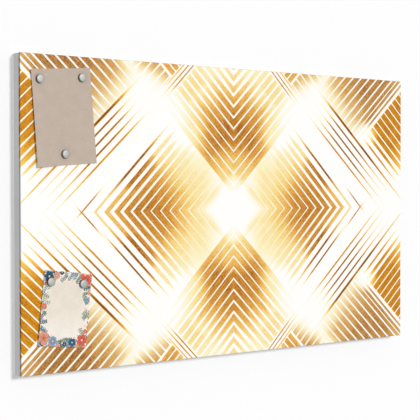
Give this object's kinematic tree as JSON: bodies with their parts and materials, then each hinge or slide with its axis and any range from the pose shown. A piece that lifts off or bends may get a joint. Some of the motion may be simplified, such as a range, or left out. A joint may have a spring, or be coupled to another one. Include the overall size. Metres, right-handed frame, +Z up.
{
  "type": "magnetic display board",
  "caption": "Wall-hung steel board faced with a printed gold and white chevron pattern, with pot magnets that hold cards on it and keyhole plates in the back corners.",
  "frame": {"origin": "middle of the board on the wall plane, where the wall pads touch the wall", "axes": "+X to the board's right as seen from the front, +Y into the wall, +Z up; the printed face looks along -Y"},
  "size_m": [1.0008, 0.0364, 0.6008],
  "materials": {
    "light_grey_coat": "satin",
    "printed_film": "satin",
    "galvanised_steel": "satin",
    "rivet_aluminium": "satin",
    "foam_tape": "matte",
    "black_rubber": "matte",
    "note_card_stock": "matte",
    "invitation_stock": "matte",
    "nickel_plate": "polished",
    "magnet_alloy": "matte"
  },
  "bodies": {
    "board": {"steel_tray": "light_grey_coat", "print_film": "printed_film", "channel_left": "galvanised_steel", "channel_right": "galvanised_steel", "channel_tape_left_outer": "foam_tape", "channel_tape_left_inner": "foam_tape", "channel_tape_right_outer": "foam_tape", "channel_tape_right_inner": "foam_tape", "keyhole_plate_top_left": "galvanised_steel", "wall_pad_top_left": "black_rubber", "rivet_top_left_level_lip": "rivet_aluminium", "rivet_top_left_upright_lip": "rivet_aluminium", "keyhole_plate_top_right": "galvanised_steel", "wall_pad_top_right": "black_rubber", "rivet_top_right_level_lip": "rivet_aluminium", "rivet_top_right_upright_lip": "rivet_aluminium", "keyhole_plate_bottom_left": "galvanised_steel", "wall_pad_bottom_left": "black_rubber", "rivet_bottom_left_level_lip": "rivet_aluminium", "rivet_bottom_left_upright_lip": "rivet_aluminium", "keyhole_plate_bottom_right": "galvanised_steel", "wall_pad_bottom_right": "black_rubber", "rivet_bottom_right_level_lip": "rivet_aluminium", "rivet_bottom_right_upright_lip": "rivet_aluminium"},
    "note_card": {"note_card": "note_card_stock"},
    "invitation_card": {"invitation_card": "invitation_stock"},
    "magnet_1": {"magnet_cap_1": "nickel_plate", "magnet_core_1": "magnet_alloy"},
    "magnet_2": {"magnet_cap_2": "nickel_plate", "magnet_core_2": "magnet_alloy"},
    "magnet_3": {"magnet_cap_3": "nickel_plate", "magnet_core_3": "magnet_alloy"},
    "magnet_4": {"magnet_cap_4": "nickel_plate", "magnet_core_4": "magnet_alloy"},
    "magnet_5": {"magnet_cap_5": "nickel_plate", "magnet_core_5": "magnet_alloy"}
  },
  "joints": [
    {"name": "note_card_lift_off", "type": "slide", "parent": "board", "child": "note_card", "axis": [0, -1, 0], "range_m": [0, 0.06]},
    {"name": "invitation_card_lift_off", "type": "slide", "parent": "board", "child": "invitation_card", "axis": [0, -1, 0], "range_m": [0, 0.06]},
    {"name": "magnet_1_pull_off", "type": "slide", "parent": "note_card", "child": "magnet_1", "axis": [0, -1, 0], "range_m": [0, 0.03]},
    {"name": "magnet_2_pull_off", "type": "slide", "parent": "note_card", "child": "magnet_2", "axis": [0, -1, 0], "range_m": [0, 0.03]},
    {"name": "magnet_3_pull_off", "type": "slide", "parent": "note_card", "child": "magnet_3", "axis": [0, -1, 0], "range_m": [0, 0.03]},
    {"name": "magnet_4_pull_off", "type": "slide", "parent": "invitation_card", "child": "magnet_4", "axis": [0, -1, 0], "range_m": [0, 0.03]},
    {"name": "magnet_5_pull_off", "type": "slide", "parent": "invitation_card", "child": "magnet_5", "axis": [0, -1, 0], "range_m": [0, 0.03]}
  ]
}
